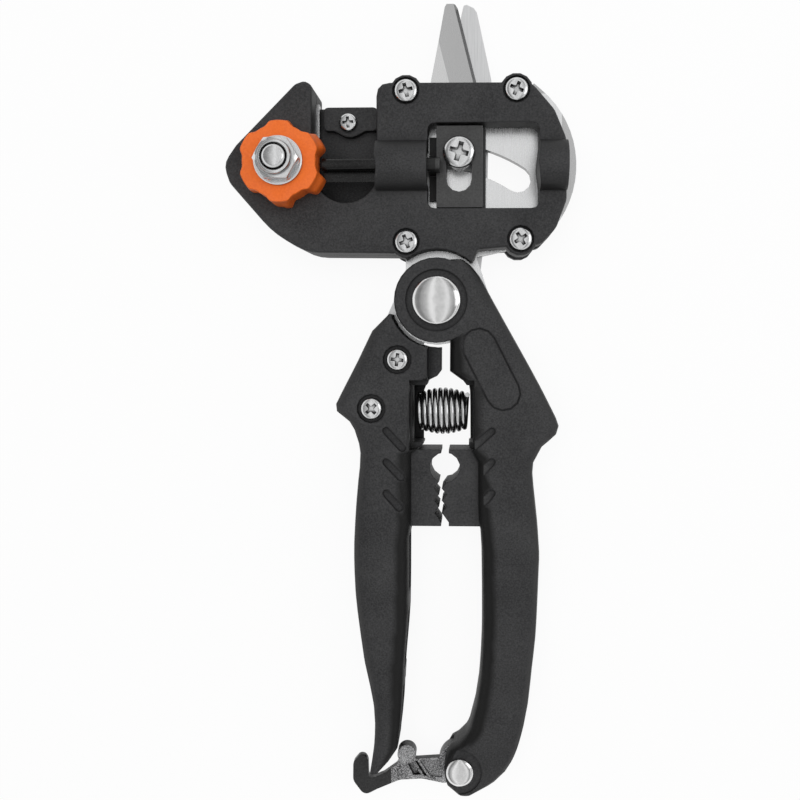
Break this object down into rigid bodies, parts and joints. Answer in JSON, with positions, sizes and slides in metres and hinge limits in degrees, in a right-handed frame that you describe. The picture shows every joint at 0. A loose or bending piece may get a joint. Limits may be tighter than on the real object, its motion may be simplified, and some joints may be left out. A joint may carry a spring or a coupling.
{
  "type": "grafting tool",
  "caption": "Hand grafting pruner: short pruning blades, a sliding grafting punch, an orange lobed anvil, black handles with a spring and a latch.",
  "frame": {"origin": "main pivot's axis on the plane that the tool rests on, at the pivot bolt's end", "axes": "+Y from the handles to the pruning blades, -X towards the grafting anvil, +Z out of the front"},
  "size_m": [0.0923, 0.2141, 0.0332],
  "materials": {
    "black_plastic": "fine-grained satin",
    "plate_steel": "brushed",
    "polished_bolt": "polished",
    "zinc": "bright zinc",
    "dark_steel": "oiled black oxide",
    "orange_nylon": "satin",
    "latch_metal": "dark sparkling cast metal"
  },
  "bodies": {
    "head": {"front_cover": "black_plastic", "back_cover": "black_plastic", "head_plate": "plate_steel", "right_handle": "black_plastic", "pivot_bolt": "polished_bolt", "pivot_nut": "zinc", "pivot_washer": "zinc", "cover_screw_1": "zinc", "cover_screw_2": "zinc", "cover_screw_3": "zinc", "cover_screw_4": "zinc", "back_screw_1": "zinc", "back_screw_2": "zinc", "back_screw_3": "zinc", "right_handle_screw_1": "zinc", "right_handle_screw_2": "zinc", "anvil_washer": "zinc", "anvil_nut": "zinc", "anvil_bolt": "zinc", "arm_stiffener": "plate_steel", "stop_plate": "black_plastic", "stop_plate_screw": "zinc", "latch_rivet": "zinc", "return_spring": "zinc"},
    "lever": {"lever_plate": "plate_steel", "left_handle": "black_plastic", "left_handle_screw_1": "zinc", "left_handle_screw_2": "zinc", "drive_screw": "zinc"},
    "slide": {"slide_block": "dark_steel", "blade_rod": "dark_steel", "grafting_blade": "dark_steel"},
    "anvil": {"anvil_wheel": "orange_nylon"},
    "latch": {"latch": "latch_metal"}
  },
  "joints": [
    {"name": "handle_pivot", "type": "hinge", "parent": "head", "child": "lever", "pos_m": [0, 0, 0], "axis": [0, 0, -1], "range_deg": [0, 20], "deforming": ["return_spring"]},
    {"name": "slide_travel", "type": "slide", "parent": "head", "child": "slide", "axis": [1, 0, 0], "range_m": [0, 0.0128]},
    {"name": "anvil_turn", "type": "hinge", "parent": "head", "child": "anvil", "pos_m": [-0.0396, 0.0348, 0.0183], "axis": [0, 0, 1], "range_deg": [-5, 5]},
    {"name": "latch_turn", "type": "hinge", "parent": "head", "child": "latch", "pos_m": [0.0062, -0.1253, 0.0085], "axis": [0, 0, 1], "range_deg": [0, 100]}
  ],
  "couplings": [
    {"joint": "slide_travel", "follows": "handle_pivot", "m_per_rad": 0.03658},
    {"joint": "latch_turn", "follows": "handle_pivot", "ratio": 5}
  ]
}
